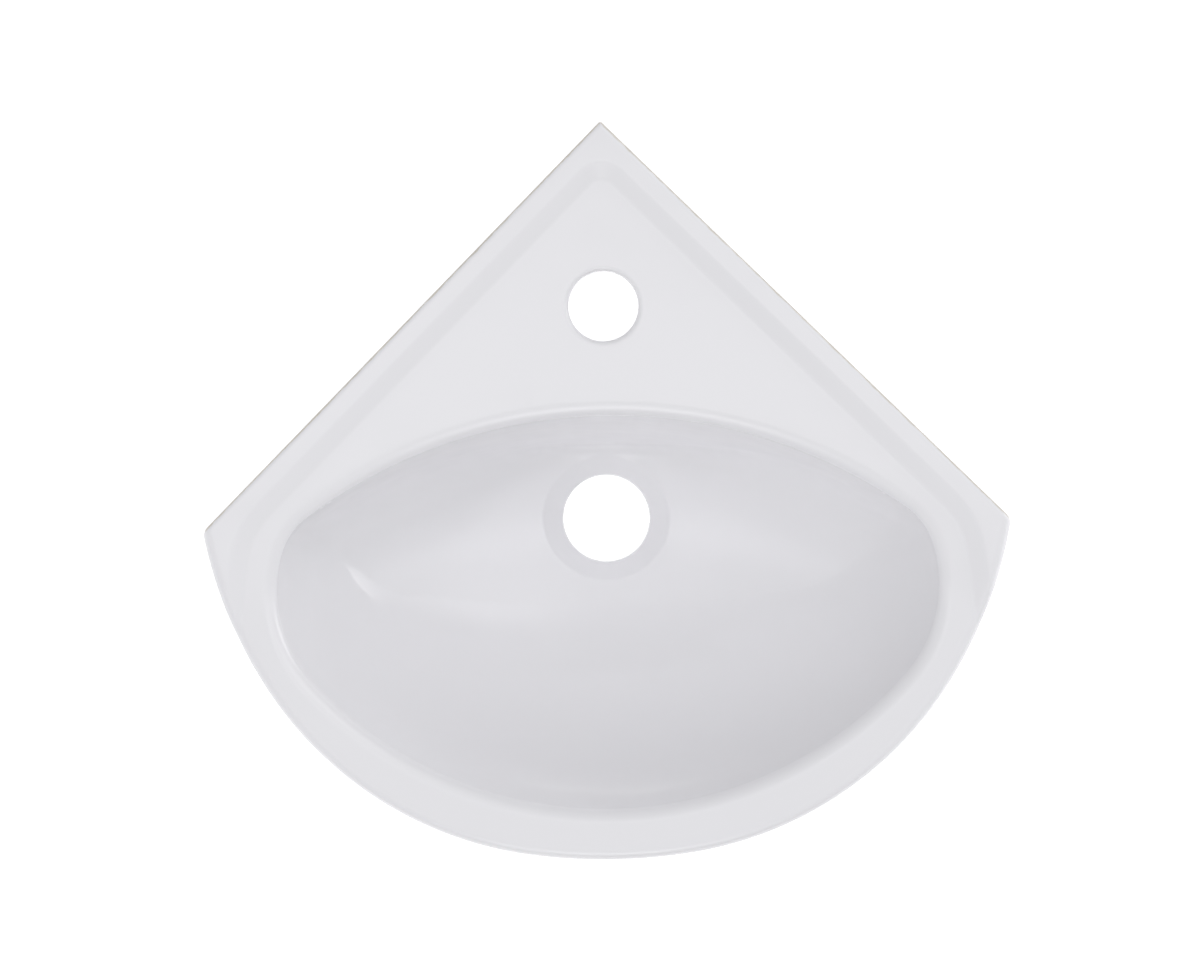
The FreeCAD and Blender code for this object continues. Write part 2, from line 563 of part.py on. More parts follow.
waste_plan = circle_sketch(basin, "waste_plan", 0, wy, size("waste_bore"), None, "-sizes.waste_y", "sizes.waste_bore")
doc.recompute()
waste = basin.newObject("PartDesign::Pocket", "waste_hole")
waste.Profile = waste_plan
waste.Type = "ThroughAll"
doc.recompute()
tap_plan = circle_sketch(basin, "tap_plan", 0, -size("tap_y"), size("tap_bore"), None, "-sizes.tap_y", "sizes.tap_bore")
at_height(tap_plan, 0.0, "0")
doc.recompute()
before = basin.Shape.Volume
tap = basin.newObject("PartDesign::Pocket", "tap_hole")
tap.Profile = tap_plan
tap.Type = "ThroughAll"
doc.recompute()
print("tap_hole removes", round(before - basin.Shape.Volume))

# Fixing holes, square to each wall
WALLS = {"right": Vector(1, 1, 0), "left": Vector(-1, 1, 0)}
for side, normal in WALLS.items():
    sign = 1 if side == "right" else -1
    fix_plan = new_sketch(basin, "fix_plan_" + side, "XY_Plane")
    n = Vector(normal).normalize()
    along_wall = Vector(sign, -1, 0).normalize()
    turn = Rotation(along_wall, Vector(0, 0, 1), n, "ZXY")
    fix_plan.AttachmentOffset = Placement(Vector(0, 0, 0), turn)
    fix_plan.addGeometry(Part.Circle(Vector(0, 0, 0), Vector(0, 0, 1), size("fix_bore") / 2), False)
    # the sketch's own axes, as the turn sets them
    local = turn.inverted().multVec(along_wall * size("fix_along") + Vector(0, 0, -size("fix_down")))
    fix_plan.delGeometry(0)
    fix_plan.addGeometry(Part.Circle(Vector(local.x, local.y, 0), Vector(0, 0, 1), size("fix_bore") / 2), False)
    lx = "sizes.fix_along" if abs(abs(local.x) - size("fix_along")) < 1e-6 else "sizes.fix_down"
    ly = "sizes.fix_along" if lx == "sizes.fix_down" else "sizes.fix_down"
    bind(fix_plan, "DistanceX", (-1, 1, 0, 3), local.x, "centre_x", ("-" if local.x < 0 else "") + lx)
    bind(fix_plan, "DistanceY", (-1, 1, 0, 3), local.y, "centre_y", ("-" if local.y < 0 else "") + ly)
    bind(fix_plan, "Diameter", (0,), size("fix_bore"), "width", "sizes.fix_bore")
    doc.recompute()
    before = basin.Shape.Volume
    fix = basin.newObject("PartDesign::Pocket", "fix_hole_" + side)
    fix.Profile = fix_plan
    fix.Length = 60
    fix.Midplane = True
    doc.recompute()
    print("fix_hole", side, "removes", round(before - basin.Shape.Volume))


# Roundings, one group of edges at a time. A group is found by its place.
def mid(edge):
    return edge.valueAt((edge.FirstParameter + edge.LastParameter) / 2)


def rounding(name, alias, pick):
    shape = basin.Shape
    names = ["Edge%d" % (i + 1) for i, e in enumerate(shape.Edges) if e.Length > 0.01 and pick(e, mid(e))]
    base = basin.Tip
    feature = basin.newObject("PartDesign::Fillet", name)
    feature.Base = (base, names)
    feature.Radius = size(alias)
    feature.setExpression("Radius", "sizes." + alias)
    doc.recompute()
    good = not ({"Invalid", "Error"} & set(feature.State)) and feature.Shape.isValid() and not feature.Shape.isNull()
    print(name, len(names), "edges", "ok" if good else "FAILED", feature.State)
    return good


def upright(e):
    a, b = e.Vertexes[0].Point, e.Vertexes[-1].Point
    return abs(a.x - b.x) < 1e-4 and abs(a.y - b.y) < 1e-4 and abs(a.z - b.z) > 5


def level(e, z):
    return all(abs(v.Point.z - z) < 0.02 for v in e.Vertexes) and abs(mid(e).z - z) < 0.02


def on_circle(e, y, radius):
    return all(abs(math.hypot(v.Point.x, v.Point.y - y) - radius) < 0.05 for v in e.Vertexes)


def kind(e):
    return type(e.Curve).__name__


rounding("apex_edge", "apex_round", lambda e, m: upright(e) and math.hypot(m.x, m.y) < 0.01)
rounding("tip_edges", "tip_round", lambda e, m: upright(e) and abs(abs(m.x) - tip_x) < 0.05 and abs(m.y + tip_x) < 0.05)
rounding("rim_low_edge", "rim_under", lambda e, m: level(e, -size("rim_depth")) and kind(e) == "Circle" and m.y < -260)
rounding("rim_edge", "rim_round", lambda e, m: level(e, 0) and kind(e) == "Circle" and m.y < -260)
rounding("shell_corner", "shell_round", lambda e, m: level(e, -size("rim_depth")) and kind(e) == "BSplineCurve" and m.y < -150)
rounding("tap_edge", "tap_round", lambda e, m: level(e, 0) and on_circle(e, -size("tap_y"), size("tap_bore") / 2))
rounding("waste_edge", "waste_round", lambda e, m: level(e, -size("dish_foot")) and on_circle(e, wy, size("waste_bore") / 2))
rounding("boss_edge", "boss_round", lambda e, m: level(e, -size("boss_foot")) and on_circle(e, wy, size("boss_width") / 2))
rounding("step_head_edge", "step_round", lambda e, m: level(e, size("upstand")) and math.hypot(m.x, m.y) > 12 and abs(m.x + m.y) > 3 and abs(m.x - m.y) > 3 and abs(abs(m.x) - 197) > 3)

# ---------------------------------------------------------------- fixings


def ring_sketch(body, name, points, names):
    """Closed profile beside the axis, in the body's XZ plane."""
    sketch = new_sketch(body, name, "XZ_Plane")
    count = len(points)
    for i in range(count):
        p, q = points[i], points[(i + 1) % count]
        sketch.addGeometry(line(p[0], p[1], q[0], q[1]), False)
    for i in range(count):
        sketch.addConstraint(Sketcher.Constraint("Coincident", i, 2, (i + 1) % count, 1))
    for i, (x, z) in enumerate(names):
        if x:
            bind(sketch, "DistanceX", (-1, 1, i, 1), points[i][0], "x%d" % i, x)
        if z:
            bind(sketch, "DistanceY", (-1, 1, i, 1), points[i][1], "z%d" % i, z)
    return sketch


def place(body, side):
    """Own +Z along the outward normal of the wall, own origin on the wall."""
    sign = 1 if side == "right" else -1
    body.Placement = Placement(
        Vector(sign * size("fix_along") / ROOT2, -size("fix_along") / ROOT2, -size("fix_down")),
        Rotation(Vector(0, 0, 1), Vector(sign, 1, 0)),
    )
    body.setExpression("Placement.Base.x", "%s sizes.fix_along / sqrt(2)" % ("1 *" if sign > 0 else "-1 *"))
    body.setExpression("Placement.Base.y", "-sizes.fix_along / sqrt(2)")
    body.setExpression("Placement.Base.z", "-sizes.fix_down")


def make_bush(side):
    body = new_body("fixing_bush_" + side)
    face = -size("plate_thick")
    seat = face - size("bush_flange_thick")
    rb, ro, rf = size("bush_bore") / 2, size("bush_width") / 2, size("bush_flange") / 2
    tip = -size("bush_short")
    points = [(rb, seat), (rf, seat), (rf, face), (ro, face), (ro, tip), (rb, tip)]
    S = "-sizes.plate_thick - sizes.bush_flange_thick"
    F = "-sizes.plate_thick"
    names = [
        ("sizes.bush_bore / 2", S),
        ("sizes.bush_flange / 2", S),
        ("sizes.bush_flange / 2", F),
        ("sizes.bush_width / 2", F),
        ("sizes.bush_width / 2", "-sizes.bush_short"),
        ("sizes.bush_bore / 2", "-sizes.bush_short"),
    ]
    sketch = ring_sketch(body, "bush_profile_" + side, points, names)
    doc.recompute()
    turn = body.newObject("PartDesign::Revolution", "bush_turned_" + side)
    turn.Profile = sketch
    turn.ReferenceAxis = (sketch, ["V_Axis"])
    turn.Angle = 360
    doc.recompute()
    shape = body.Shape
    edges = [
        "Edge%d" % (i + 1)
        for i, e in enumerate(shape.Edges)
        if e.Closed and abs(e.Vertexes[0].Point.z - seat) < 1e-3 and abs(e.Curve.Radius - rf) < 1e-3
    ]
    soft = body.newObject("PartDesign::Fillet", "bush_rounding_" + side)
    soft.Base = (turn, edges)
    soft.Radius = 0.8
    ends = [
        "Edge%d" % (i + 1)
        for i, e in enumerate(shape.Edges)
        if e.Closed and abs(e.Vertexes[0].Point.z - tip) < 1e-3 and abs(e.Curve.Radius - ro) < 1e-3
    ]
    doc.recompute()
    lead = body.newObject("PartDesign::Chamfer", "bush_lead_" + side)
    shape = soft.Shape
    ends = [
        "Edge%d" % (i + 1)
        for i, e in enumerate(shape.Edges)
        if e.Closed and abs(e.Vertexes[0].Point.z - tip) < 1e-3 and abs(e.Curve.Radius - ro) < 1e-3
    ]
    lead.Base = (soft, ends)
    lead.Size = 1.0
    place(body, side)
    doc.recompute()
    return body


def make_washer(side):
    body = new_body("fixing_washer_" + side)
    top = -size("plate_thick") - size("bush_flange_thick")
    low = top - size("washer_thick")
    ri, ro = size("washer_bore") / 2, size("washer_width") / 2
    T = "-sizes.plate_thick - sizes.bush_flange_thick"
    L = "-sizes.plate_thick - sizes.bush_flange_thick - sizes.washer_thick"
    points = [(ri, low), (ro, low), (ro, top), (ri, top)]
    names = [
        ("sizes.washer_bore / 2", L),
        ("sizes.washer_width / 2", L),
        ("sizes.washer_width / 2", T),
        ("sizes.washer_bore / 2", T),
    ]
    sketch = ring_sketch(body, "washer_profile_" + side, points, names)
    doc.recompute()
    turn = body.newObject("PartDesign::Revolution", "washer_turned_" + side)
    turn.Profile = sketch
    turn.ReferenceAxis = (sketch, ["V_Axis"])
    turn.Angle = 360
    doc.recompute()
    edges = [
        "Edge%d" % (i + 1)
        for i, e in enumerate(turn.Shape.Edges)
        if e.Closed and abs(e.Curve.Radius - ro) < 1e-3
    ]
    soft = body.newObject("PartDesign::Chamfer", "washer_edges_" + side)
    soft.Base = (turn, edges)
    soft.Size = 0.3
    place(body, side)
    doc.recompute()
    return body


def make_nut(side):
    body = new_body("fixing_nut_" + side)
    top = -size("plate_thick") - size("bush_flange_thick") - size("washer_thick")
    T = "-sizes.plate_thick - sizes.bush_flange_thick - sizes.washer_thick"
    hexagon = new_sketch(body, "nut_plan_" + side)
    at_height(hexagon, top, T)
    r = size("nut_flats") / math.sqrt(3)
    corners = [(r * math.cos(math.radians(60 * i)), r * math.sin(math.radians(60 * i))) for i in range(6)]
    for i in range(6):
        p, q = corners[i], corners[(i + 1) % 6]
        hexagon.addGeometry(line(p[0], p[1], q[0], q[1]), False)
    ring = hexagon.addGeometry(Part.Circle(Vector(0, 0, 0), Vector(0, 0, 1), r), True)
    for i in range(6):
        hexagon.addConstraint(Sketcher.Constraint("Coincident", i, 2, (i + 1) % 6, 1))
        hexagon.addConstraint(Sketcher.Constraint("PointOnObject", i, 1, ring))
    for i in range(1, 6):
        hexagon.addConstraint(Sketcher.Constraint("Equal", 0, i))
    hexagon.addConstraint(Sketcher.Constraint("Coincident", ring, 3, -1, 1))
    hexagon.addConstraint(Sketcher.Constraint("PointOnObject", 0, 1, -1))
    bind(hexagon, "Radius", (ring,), r, "corner", "sizes.nut_flats / sqrt(3)")
    doc.recompute()
    block = body.newObject("PartDesign::Pad", "nut_block_" + side)
    block.Profile = hexagon
    block.Reversed = True
    block.Length = size("nut_high")
    block.setExpression("Length", "sizes.nut_high")
    doc.recompute()
    bore_plan = circle_sketch(body, "nut_bore_plan_" + side, 0, 0, size("nut_bore"), None, None, "sizes.nut_bore")
    doc.recompute()
    bore = body.newObject("PartDesign::Pocket", "nut_bore_" + side)
    bore.Profile = bore_plan
    bore.Type = "ThroughAll"
    bore.Midplane = True
    doc.recompute()
    mouths = [
        "Edge%d" % (i + 1)
        for i, e in enumerate(bore.Shape.Edges)
        if e.Closed and abs(e.Curve.Radius - size("nut_bore") / 2) < 1e-3
    ]
    lead = body.newObject("PartDesign::Chamfer", "nut_mouths_" + side)
    lead.Base = (bore, mouths)
    lead.Size = size("nut_chamfer")
    lead.setExpression("Size", "sizes.nut_chamfer")
    doc.recompute()
    # Corners cut back at 30 degrees on both faces
    low = top - size("nut_high")
    ro = size("nut_flats") / 2 * 0.97
    run = 2.0
    rise = run * math.tan(math.radians(30))
    for tag, z, way in (("wall", top, 1), ("user", low, -1)):
        points = [(ro, z + 0.0), (ro + run, z - way * rise), (ro + run, z + way * 1.0), (ro, z + way * 1.0)]
        base = T if way > 0 else T + " - sizes.nut_high"
        names = [
            ("sizes.nut_flats / 2 * 0.97", base),
            ("sizes.nut_flats / 2 * 0.97 + 2", "%s %s %.6f" % (base, "-" if way > 0 else "+", rise)),
            ("sizes.nut_flats / 2 * 0.97 + 2", "%s %s 1" % (base, "+" if way > 0 else "-")),
            ("sizes.nut_flats / 2 * 0.97", "%s %s 1" % (base, "+" if way > 0 else "-")),
        ]
        sketch = ring_sketch(body, "nut_corner_%s_%s" % (tag, side), points, names)
        doc.recompute()
        before = body.Shape.Volume
        trim = body.newObject("PartDesign::Groove", "nut_trim_%s_%s" % (tag, side))
        trim.Profile = sketch
        trim.ReferenceAxis = (sketch, ["V_Axis"])
        trim.Angle = 360
        doc.recompute()
        print("nut trim", tag, round(before - body.Shape.Volume, 2))
    place(body, side)
    doc.recompute()
    return body


bodies = [basin]
for side in ("left", "right"):
    bodies += [make_bush(side), make_washer(side), make_nut(side)]
doc.recompute()

# ---------------------------------------------------------------- check and write

for obj in doc.Objects:
    bad = {"Invalid", "Error"} & set(obj.State)
    if bad:
        raise RuntimeError("%s: %s" % (obj.Label, obj.State))
os.makedirs("parts", exist_ok=True)
for body in bodies:
    shape = body.Shape
    if shape.isNull() or not shape.isValid() or len(shape.Solids) != 1:
        raise RuntimeError("%s: shape" % body.Label)
for body in bodies:
    shape = body.Shape
    box = shape.BoundBox
    print(
        "%-22s volume %10.0f  x %7.2f %7.2f  y %7.2f %7.2f  z %7.2f %7.2f"
        % (body.Label, shape.Volume, box.XMin, box.XMax, box.YMin, box.YMax, box.ZMin, box.ZMax)
    )
    shape.exportStep("parts/%s.step" % body.Label)
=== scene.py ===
import math

import bpy
import numpy as np
from mathutils import Matrix, Vector


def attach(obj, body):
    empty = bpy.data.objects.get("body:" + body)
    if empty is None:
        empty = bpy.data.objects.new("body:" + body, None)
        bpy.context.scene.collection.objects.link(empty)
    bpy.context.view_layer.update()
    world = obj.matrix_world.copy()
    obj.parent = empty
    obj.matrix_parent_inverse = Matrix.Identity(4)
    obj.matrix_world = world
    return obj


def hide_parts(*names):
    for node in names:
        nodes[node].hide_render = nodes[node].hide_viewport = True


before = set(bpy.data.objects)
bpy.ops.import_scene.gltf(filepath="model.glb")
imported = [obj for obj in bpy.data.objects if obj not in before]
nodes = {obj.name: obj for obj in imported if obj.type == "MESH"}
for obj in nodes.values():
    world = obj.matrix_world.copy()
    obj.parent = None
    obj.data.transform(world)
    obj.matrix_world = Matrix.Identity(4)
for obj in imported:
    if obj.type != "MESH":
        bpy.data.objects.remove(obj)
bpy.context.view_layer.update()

# ------------------------------------------------------------------ shape
# The casting is one closed surface: the zero level of a signed distance that
# is put together from planes, arcs and roundings. Millimetres, origin in the
# corner of the room at the height of the deck.

R2 = math.sqrt(2.0)


def smooth_max(a, b, k):
    t = np.maximum(k - np.abs(a - b), 0) / k
    return np.maximum(a, b) + t * t * t * k / 6


def smooth_step(t):
    t = np.clip(t, 0, 1)
    return t * t * (3 - 2 * t)


def round_max(a, b, r, c=0.0):
    """Edge of radius r between two surfaces whose normals have the dot product c."""
    p, q = a + r, b + r
    m = np.maximum(p, q)
    corner = (p - c * q > 0) & (q - c * p > 0)
    d = np.sqrt(np.maximum(p * p + q * q - 2 * c * p * q, 0) / (1 - c * c))
    return np.where(corner, d, m) - r


def round_min(a, b, r, c=0.0):
    return -round_max(-a, -b, r, c)


def arcs_all_round(x, y, arcs):
    """Distance to a closed curve of tangent arcs (cx, cy, r, from, to), the half with x > 0."""
    ax = np.abs(x)
    best = out = None
    for cx, cy, r, a0, a1 in arcs:
        dx, dy = ax - cx, y - cy
        rr, an = np.hypot(dx, dy), np.arctan2(dy, dx)
        mid, half = math.radians((a0 + a1) / 2), math.radians((a1 - a0) / 2)
        t = np.abs((an - mid + np.pi) % (2 * np.pi) - np.pi) - half
        d = rr - r
        key = np.abs(d) + np.where(t > 0, 1e3 * np.minimum(t, 1), 0)
        if best is None:
            best, out = key, d
        else:
            m = key < best
            best, out = np.where(m, key, best), np.where(m, d, out)
    return out


def arcs_front(x, y, arcs):
    """Distance to the open front curve, negative behind it."""
    ax = np.abs(x)
    best = out = None
    for cx, cy, r, a0, a1 in arcs:
        dx, dy = ax - cx, y - cy
        rr, an = np.hypot(dx, dy), np.arctan2(dy, dx)
        mid, half = math.radians((a0 + a1) / 2), math.radians((a1 - a0) / 2)
        t = np.abs((an - mid + np.pi) % (2 * np.pi) - np.pi) - half
        ends = [(cx + r * math.cos(math.radians(a)), cy + r * math.sin(math.radians(a))) for a in (a0, a1)]
        far = np.minimum(np.hypot(ax - ends[0][0], y - ends[0][1]), np.hypot(ax - ends[1][0], y - ends[1][1]))
        d = np.where(t > 0.02, -far, rr - r)
        key = np.abs(d)
        if best is None:
            best, out = key, d
        else:
            m = key < best
            best, out = np.where(m, key, best), np.where(m, d, out)
    return out


BOWL = [(0, -142.53, 201.58, -90, -42.7), (98.214, -233.146, 67.951, -42.7, 17.41),
        (128.454, -223.665, 36.26, 17.41, 54.19), (0, -401.689, 255.788, 54.19, 90)]
FRONT = [(0, -89.39, 278.71, -90, -81.626), (13.495, -181.06, 186.05, -81.626, -31.36),
         (-17.722, -162.034, 222.61, -31.36, 25)]
WASTE_Y, TAP_Y = -199.0, -92.0


def bowl(x, y, z):
    """The space in the bowl: steep at the back, a long slope at the front and the sides."""
    sd = arcs_all_round(x, y, BOWL)
    d = np.maximum(-z, 0)
    k = smooth_step((-195.0 - y) / 75.0)
    back, front = 0.10 * d + 0.0004 * d * d, 0.28 * d + 0.0034 * d * d
    w = back * (1 - k) + front * k
    slope = (0.10 + 0.0008 * d) * (1 - k) + (0.28 + 0.0068 * d) * k
    side = (sd + w) / np.sqrt(1 + slope * slope)
    rho = np.hypot(x, y - WASTE_Y)
    floor = -(112 - 0.08 * rho - 0.0007 * rho * rho - 0.0010 * x * x)
    low = (floor - z) / np.sqrt(1 + (0.08 + 0.0014 * rho + 0.0020 * np.abs(x)) ** 2)
    ks = np.maximum(smooth_step((-175.0 - y) / 70.0), smooth_step((np.abs(x) - 15.0) / 90.0))
    return smooth_max(side, low, 14.0 + 32.0 * ks)


def top_face(x, y, z):
    """Deck at z = 0 and, along the walls and out to the tips, the ledge at z = 3."""
    ax = np.abs(x)
    near, far = (ax + y) / R2 + 18.4, (-ax + y) / R2 + 18.4
    run_out = (ax - 178.0) * 0.99276 + (y + 204.02) * 0.12014
    s = round_max(round_max(near, far, 7.1), run_out, 42.0, 0.7869)
    ramp = (z * 8.4 - s * 3.0) / 8.92
    ledge = round_max(z - 3.0, ramp, 4.0, 0.9417)
    return round_min(z, ledge, 5.0, 0.9417)


def casting(x, y, z):
    ax = np.abs(x)
    wall = (ax + y) / R2
    other = (-ax + y) / R2
    along = (ax - y) / R2
    rho = np.hypot(x, y - WASTE_Y)
    # deck and rim
    f = round_max(top_face(x, y, z), arcs_front(x, y, FRONT), 5.0)
    f = round_max(f, -30.0 - z, 8.0)
    # hollow under the deck
    hollow = round_max(along - 160.0, z + 13.0, 8.0)
    f = round_max(f, -hollow, 3.0)
    # back plates, their lower edges rising to the rim
    inner = round_max(wall + 12.0, other + 12.0, 10.0)
    rise = np.where(ax > 70.0, np.hypot(ax - 70.0, z + 4.9) - 103.1, -108.0 - z)
    plate = np.maximum(round_max(-inner, rise, 3.0), z + 8.0)
    f = round_min(f, plate, 6.0)
    # bowl and waste boss
    space = bowl(x, y, z)
    f = round_min(f, np.maximum(space - 10.0, z + 6.0), 6.0)
    boss = np.maximum(round_max(rho - 36.0, -142.0 - z, 3.0), z + 106.0)
    f = round_min(f, boss, 11.0)
    # the lip is rounder at the back than at the sides and the front
    lip = 5.5 + 1.0 * smooth_step((y + 225.0) / 45.0) * smooth_step((165.0 - ax) / 60.0)
    f = round_max(f, -space, lip)
    # dish and holes
    dish = (z + 116.0 - (rho - 23.0) * 0.785) / 1.2713
    dish = round_max(np.maximum(-dish, -(z + 117.5)), rho - 37.0, 6.0)
    f = round_max(f, -dish, 3.6, 0.857)
    f = round_max(f, 23.0 - rho, 3.0, np.where(z > -130, 0.6175, 0.0))
    f = round_max(f, 17.5 - np.hypot(x, y - TAP_Y), 2.6)
    bore = np.maximum(np.hypot(along - 118.0, z + 52.0) - 7.0, -(wall + 30.0))
    f = round_max(f, -bore, 1.0)
    # the two walls
    return round_max(f, round_max(wall, other, 1.2), np.where(z > -15, 2.2, 2.0))


def slopes(x, y, z, e=0.02):
    g = np.stack([casting(x + e, y, z) - casting(x - e, y, z),
                  casting(x, y + e, z) - casting(x, y - e, z),
                  casting(x, y, z + e) - casting(x, y, z - e)], 1)
    return g / (2 * e)


def settle(p, rounds):
    """Points onto the surface."""
    for _ in range(rounds):
        v = casting(p[:, 0], p[:, 1], p[:, 2])
        g = slopes(p[:, 0], p[:, 1], p[:, 2])
        step = v / np.maximum((g * g).sum(1), 0.25)
        p = p - g * np.clip(step, -1.0, 1.0)[:, None]
    return p


def closed_surface(step):
    """Quads on the zero level, one point in each cell that it crosses."""
    block = 4
    nx = int(math.ceil(206 / step / block)) * block
    y0, y1, z0, z1 = -373.0, 5.0, -147.0, 13.0
    ny = int(math.ceil((y1 - y0) / step / block)) * block
    nz = int(math.ceil((z1 - z0) / step / block)) * block
    xs, ys, zs = step * np.arange(nx + 1), y0 + step * np.arange(ny + 1), z0 + step * np.arange(nz + 1)
    cx, cy, cz = np.meshgrid(xs[::block], ys[::block], zs[::block], indexing="ij")
    c = casting(cx.ravel(), cy.ravel(), cz.ravel()).reshape(cx.shape)
    near = np.abs(c) < block * step * 1.1 + 3
    cell = np.zeros([n - 1 for n in c.shape], bool)
    for i in (0, 1):
        for j in (0, 1):
            for k in (0, 1):
                cell |= near[i:i + cell.shape[0], j:j + cell.shape[1], k:k + cell.shape[2]]
    field = np.repeat(np.repeat(np.repeat(c, block, 0), block, 1), block, 2)[:nx + 1, :ny + 1, :nz + 1].astype(np.float32)
    todo = np.zeros(field.shape, bool)
    wide = np.repeat(np.repeat(np.repeat(cell, block, 0), block, 1), block, 2)
    todo[:-1, :-1, :-1] = wide
    for i in (0, 1):
        for j in (0, 1):
            for k in (0, 1):
                todo[i:i + wide.shape[0], j:j + wide.shape[1], k:k + wide.shape[2]] |= wide
    ii, jj, kk = np.nonzero(todo)
    for a in range(0, len(ii), 400000):
        s = slice(a, a + 400000)
        field[ii[s], jj[s], kk[s]] = casting(xs[ii[s]], ys[jj[s]], zs[kk[s]])
    field = np.concatenate([field[:0:-1], field], 0)
    xs = np.concatenate([-xs[:0:-1], xs])
    solid = field < 0
    count = np.zeros([n - 1 for n in solid.shape], np.uint8)
    for i in (0, 1):
        for j in (0, 1):
            for k in (0, 1):
                count += solid[i:i + count.shape[0], j:j + count.shape[1], k:k + count.shape[2]]
    ci, cj, ck = np.nonzero((count > 0) & (count < 8))
    index = np.full(count.shape, -1, np.int32)
    index[ci, cj, ck] = np.arange(len(ci), dtype=np.int32)
    total, hits = np.zeros((len(ci), 3)), np.zeros(len(ci))
    corners = [(i, j, k) for i in (0, 1) for j in (0, 1) for k in (0, 1)]
    for a in corners:
        for axis in range(3):
            if a[axis]:
                continue
            b = list(a)
            b[axis] = 1
            va = field[ci + a[0], cj + a[1], ck + a[2]]
            vb = field[ci + b[0], cj + b[1], ck + b[2]]
            m = (va < 0) != (vb < 0)
            t = np.where(m, va / np.where(m, va - vb, 1), 0)
            p = np.tile(np.array(a, float), (len(ci), 1))
            p[:, axis] = t
            total += p * m[:, None]
            hits += m
    p = total / hits[:, None]
    points = np.stack([xs[ci] + step * p[:, 0], ys[cj] + step * p[:, 1], zs[ck] + step * p[:, 2]], 1)
    quads = []
    for axis in range(3):
        lead = [slice(None)] * 3
        lag = [slice(None)] * 3
        lead[axis], lag[axis] = slice(1, None), slice(None, -1)
        change = solid[tuple(lead)] != solid[tuple(lag)]
        e = np.stack(np.nonzero(change), 1)
        u, v = (axis + 1) % 3, (axis + 2) % 3
        keep = (e[:, u] > 0) & (e[:, v] > 0) & (e[:, u] < count.shape[u]) & (e[:, v] < count.shape[v])
        e = e[keep]
        inside = solid[e[:, 0], e[:, 1], e[:, 2]]
        ring = []
        for du, dv in ((1, 1), (0, 1), (0, 0), (1, 0)):
            c = e.copy()
            c[:, u] -= du
            c[:, v] -= dv
            ring.append(index[c[:, 0], c[:, 1], c[:, 2]])
        q = np.stack(ring, 1)
        q[~inside] = q[~inside][:, ::-1]
        quads.append(q)
    return points, np.concatenate(quads)


def mesh_object(name, points, faces):
    mesh = bpy.data.meshes.new(name)
    mesh.vertices.add(len(points))
    mesh.vertices.foreach_set("co", np.asarray(points, np.float32).ravel())
    n = faces.shape[1]
    mesh.loops.add(len(faces) * n)
    mesh.loops.foreach_set("vertex_index", faces.astype(np.int32).ravel())
    mesh.polygons.add(len(faces))
    mesh.polygons.foreach_set("loop_start", np.arange(0, len(faces) * n, n, dtype=np.int32))
    mesh.update(calc_edges=True)
    mesh.validate()
    obj = bpy.data.objects.new(name, mesh)
    bpy.context.scene.collection.objects.link(obj)
    return obj


def make_casting():
    step = 1.3
    points, quads = closed_surface(step)
    points = settle(points, 2)
    obj = mesh_object("basin_casting", points * 0.001, quads)
    tris = 2 * len(quads)
    if tris > 186000:
        cut = obj.modifiers.new("fewer", "DECIMATE")
        cut.ratio = 186000 / tris
        view = bpy.context.evaluated_depsgraph_get()
        mesh = bpy.data.meshes.new_from_object(obj.evaluated_get(view))
        obj.modifiers.clear()
        old = obj.data
        obj.data = mesh
        bpy.data.meshes.remove(old)
    mesh = obj.data
    mesh.name = "basin_casting"
    co = np.zeros(len(mesh.vertices) * 3, np.float32)
    mesh.vertices.foreach_get("co", co)
    p = settle(co.reshape(-1, 3).astype(float) * 1000, 1)
    mesh.vertices.foreach_set("co", (p * 0.001).astype(np.float32).ravel())
    g = slopes(p[:, 0], p[:, 1], p[:, 2], 0.05)
    g /= np.linalg.norm(g, axis=1)[:, None]
    mesh.polygons.foreach_set("use_smooth", np.ones(len(mesh.polygons), bool))
    mesh.update()
    mesh.normals_split_custom_set_from_vertices(g.astype(np.float32).tolist())
    print("casting:", len(mesh.vertices), "points", len(mesh.polygons), "faces")
    return obj


# -------------------------------------------------------------- materials


class Nodes:
    """A material's nodes, added and joined in short lines."""

    def __init__(self, name):
        self.material = bpy.data.materials.new(name)
        self.material.use_nodes = True
        self.tree = self.material.node_tree
        self.shader = self.tree.nodes["Principled BSDF"]
        self.where = self.add("ShaderNodeTexCoord").outputs["Object"]

    def add(self, kind, inputs=(), **settings):
        node = self.tree.nodes.new(kind)
        for k, v in settings.items():
            setattr(node, k, v)
        for socket, value in dict(inputs).items():
            self.put(node.inputs[socket], value)
        return node

    def put(self, socket, value):
        if isinstance(value, bpy.types.NodeSocket):
            self.tree.links.new(value, socket)
        else:
            socket.default_value = value

    def noise(self, scale, detail=2.0, rough=0.5, where=None):
        return self.add("ShaderNodeTexNoise", {"Vector": where or self.where, "Scale": scale, "Detail": detail, "Roughness": rough}).outputs[0]

    def ranged(self, value, a, b, c, d, smooth=False):
        node = self.add("ShaderNodeMapRange", {"Value": value, "From Min": a, "From Max": b, "To Min": c, "To Max": d})
        if smooth:
            node.interpolation_type = "SMOOTHSTEP"
        return node.outputs[0]

    def math(self, kind, a, b=0.0):
        return self.add("ShaderNodeMath", {0: a, 1: b}, operation=kind).outputs[0]

    def mix(self, factor, a, b):
        return self.add("ShaderNodeMix", {0: factor, 6: a, 7: b}, data_type="RGBA").outputs[2]

    def set(self, **values):
        for k, v in values.items():
            self.put(self.shader.inputs[k.replace("_", " ")], v)
        return self


